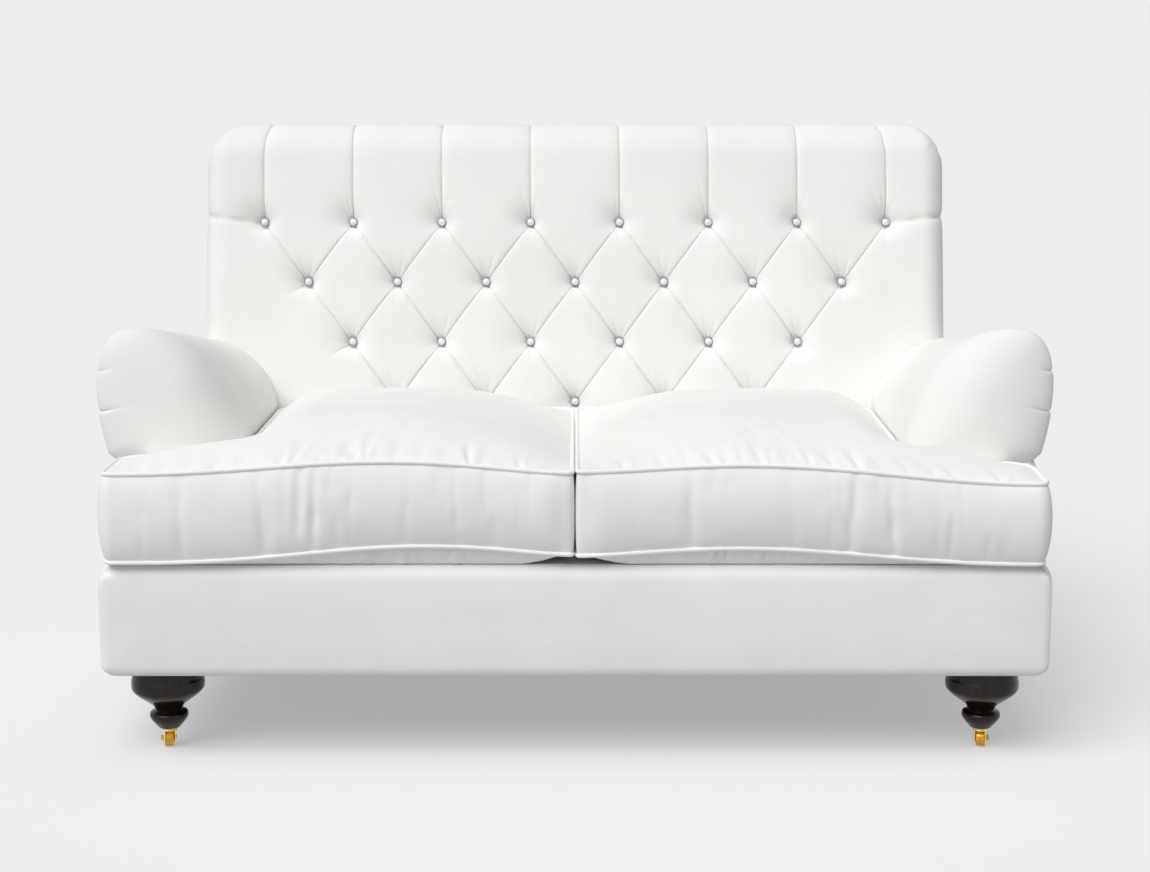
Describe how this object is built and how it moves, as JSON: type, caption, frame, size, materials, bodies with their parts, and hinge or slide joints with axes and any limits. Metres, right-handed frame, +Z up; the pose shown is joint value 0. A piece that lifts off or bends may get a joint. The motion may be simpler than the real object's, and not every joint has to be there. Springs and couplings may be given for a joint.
{
  "type": "button-back sofa",
  "caption": "Small upholstered sofa: button-tufted raked back, low rolled arms, loose T-shaped seat cushions with piping, turned dark wood front legs on brass castors.",
  "frame": {"origin": "on the floor under the middle of the sofa's outer box", "axes": "+X across the sofa to the right seen from the front, +Y to the back, +Z up"},
  "size_m": [1.544, 0.92, 0.99],
  "materials": {
    "white_upholstery_cloth": "smooth tight weave, matt",
    "beech": "planed, unfinished",
    "spring_and_bolt_steel": "drawn wire, zinc plated",
    "dark_polished_wood": "stained espresso, gloss lacquer",
    "polished_brass": "polished and lacquered",
    "pearl_button": "gloss pearl dome",
    "seat_felt": "needled felt",
    "dust_cloth": "thin black non-woven",
    "foam": "open-cell foam",
    "zip_tape": "coil zip on woven tape",
    "zip_metal": "die cast, satin"
  },
  "bodies": {
    "frame": {"front_border": "white_upholstery_cloth", "left_outside_panel": "white_upholstery_cloth", "right_outside_panel": "white_upholstery_cloth", "left_arm_pad": "white_upholstery_cloth", "right_arm_pad": "white_upholstery_cloth", "back_pad": "white_upholstery_cloth", "outside_back_panel": "white_upholstery_cloth", "front_rail": "beech", "rear_rail": "beech", "left_side_rail": "beech", "right_side_rail": "beech", "centre_rail": "beech", "front_left_corner_block": "beech", "front_right_corner_block": "beech", "rear_left_corner_block": "beech", "rear_right_corner_block": "beech", "left_arm_front_post": "beech", "left_arm_rear_post": "beech", "left_arm_top_rail": "beech", "right_arm_front_post": "beech", "right_arm_rear_post": "beech", "right_arm_top_rail": "beech", "left_back_post": "beech", "right_back_post": "beech", "back_top_rail": "beech", "back_bottom_rail": "beech", "seat_spring_1": "spring_and_bolt_steel", "seat_spring_2": "spring_and_bolt_steel", "seat_spring_3": "spring_and_bolt_steel", "seat_spring_4": "spring_and_bolt_steel", "front_left_leg_bolt": "spring_and_bolt_steel", "front_right_leg_bolt": "spring_and_bolt_steel", "rear_left_leg_bolt": "spring_and_bolt_steel", "rear_right_leg_bolt": "spring_and_bolt_steel", "front_left_leg": "dark_polished_wood", "front_right_leg": "dark_polished_wood", "rear_left_leg": "dark_polished_wood", "rear_right_leg": "dark_polished_wood", "front_left_castor_plate": "polished_brass", "front_right_castor_plate": "polished_brass", "button_row_1": "pearl_button", "button_row_2": "pearl_button", "button_row_3": "pearl_button", "button_row_4": "pearl_button", "seat_deck": "seat_felt", "dust_cover": "dust_cloth"},
    "left_castor": {"front_left_castor_fork": "polished_brass", "front_left_castor_axle": "polished_brass"},
    "left_wheel": {"front_left_castor_wheel": "polished_brass"},
    "right_castor": {"front_right_castor_fork": "polished_brass", "front_right_castor_axle": "polished_brass"},
    "right_wheel": {"front_right_castor_wheel": "polished_brass"},
    "left_cushion": {"left_cushion_cover": "white_upholstery_cloth", "left_cushion_core": "foam", "left_cushion_zip": "zip_tape"},
    "left_slider": {"left_zip_slider": "zip_metal"},
    "right_cushion": {"right_cushion_cover": "white_upholstery_cloth", "right_cushion_core": "foam", "right_cushion_zip": "zip_tape"},
    "right_slider": {"right_zip_slider": "zip_metal"}
  },
  "joints": [
    {"name": "left_castor_swivel", "type": "hinge", "parent": "frame", "child": "left_castor", "pos_m": [-0.66, -0.376, 0.03], "axis": [0, 0, 1], "continuous": true},
    {"name": "left_wheel_roll", "type": "hinge", "parent": "left_castor", "child": "left_wheel", "pos_m": [-0.66556, -0.35888, 0.015], "axis": [0.9511, 0.309, 0], "continuous": true},
    {"name": "left_cushion_lift", "type": "slide", "parent": "frame", "child": "left_cushion", "axis": [0, 0, 1], "range_m": [0, 0.25]},
    {"name": "left_zip_pull", "type": "slide", "parent": "left_cushion", "child": "left_slider", "axis": [-1, 0, 0], "range_m": [0, 0.285]},
    {"name": "right_castor_swivel", "type": "hinge", "parent": "frame", "child": "right_castor", "pos_m": [0.66, -0.376, 0.03], "axis": [0, 0, 1], "continuous": true},
    {"name": "right_wheel_roll", "type": "hinge", "parent": "right_castor", "child": "right_wheel", "pos_m": [0.66556, -0.35888, 0.015], "axis": [0.9511, -0.309, 0], "continuous": true},
    {"name": "right_cushion_lift", "type": "slide", "parent": "frame", "child": "right_cushion", "axis": [0, 0, 1], "range_m": [0, 0.25]},
    {"name": "right_zip_pull", "type": "slide", "parent": "right_cushion", "child": "right_slider", "axis": [1, 0, 0], "range_m": [0, 0.285]}
  ]
}
